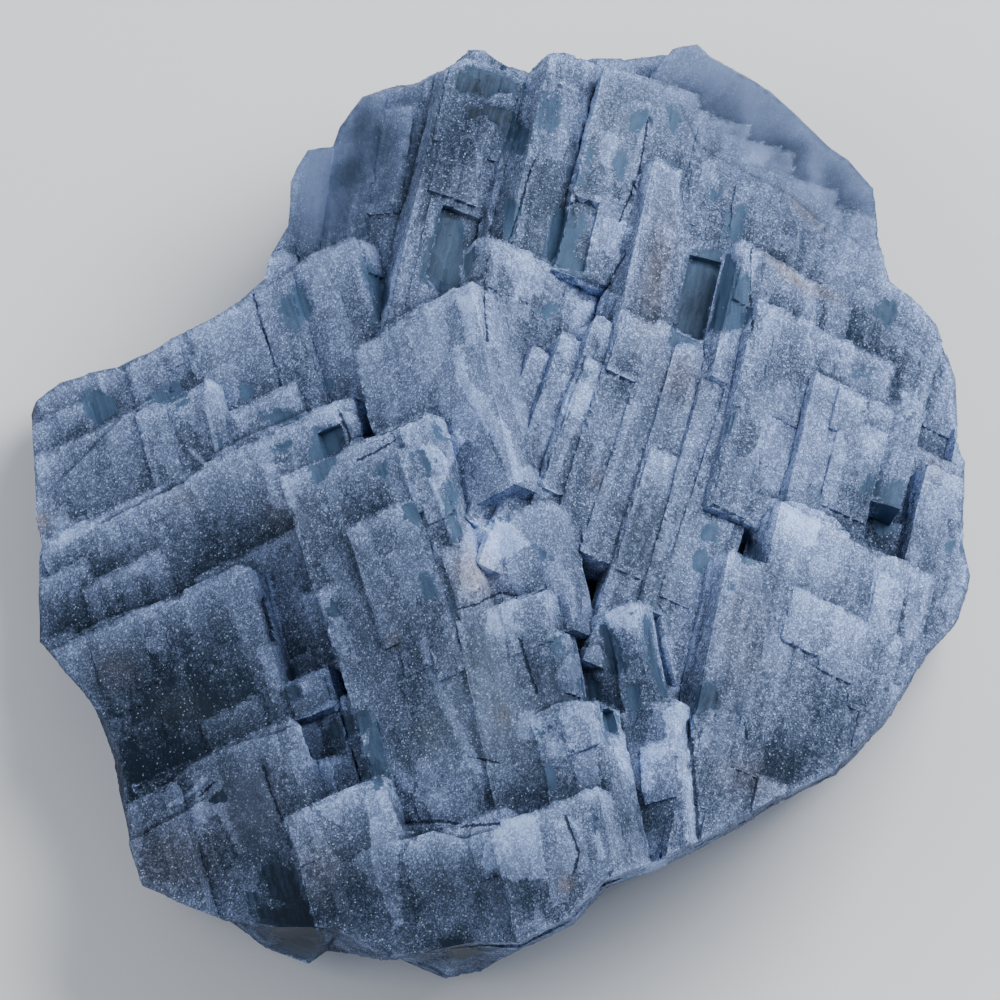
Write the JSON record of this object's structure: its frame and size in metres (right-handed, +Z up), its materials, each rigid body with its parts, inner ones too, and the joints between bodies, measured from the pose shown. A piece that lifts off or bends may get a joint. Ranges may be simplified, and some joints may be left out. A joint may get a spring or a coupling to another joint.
{
  "type": "fluorite crystal specimen",
  "caption": "Thick plate of intergrown pale blue fluorite cubes, stepped and frosted on its display face, lying on a flat broken back.",
  "frame": {"origin": "middle of the bounding box's footprint, on the surface that the specimen rests on", "axes": "+Z up, away from the surface; +Y along the specimen's longest extent, from its near rim to its far rim as displayed; +X to its right"},
  "size_m": [0.0942, 0.1108, 0.0466],
  "materials": {
    "fluorite": "sugary frost over clear, smooth windows"
  },
  "bodies": {
    "root": {"fluorite_crystal": "fluorite"}
  },
  "joints": []
}
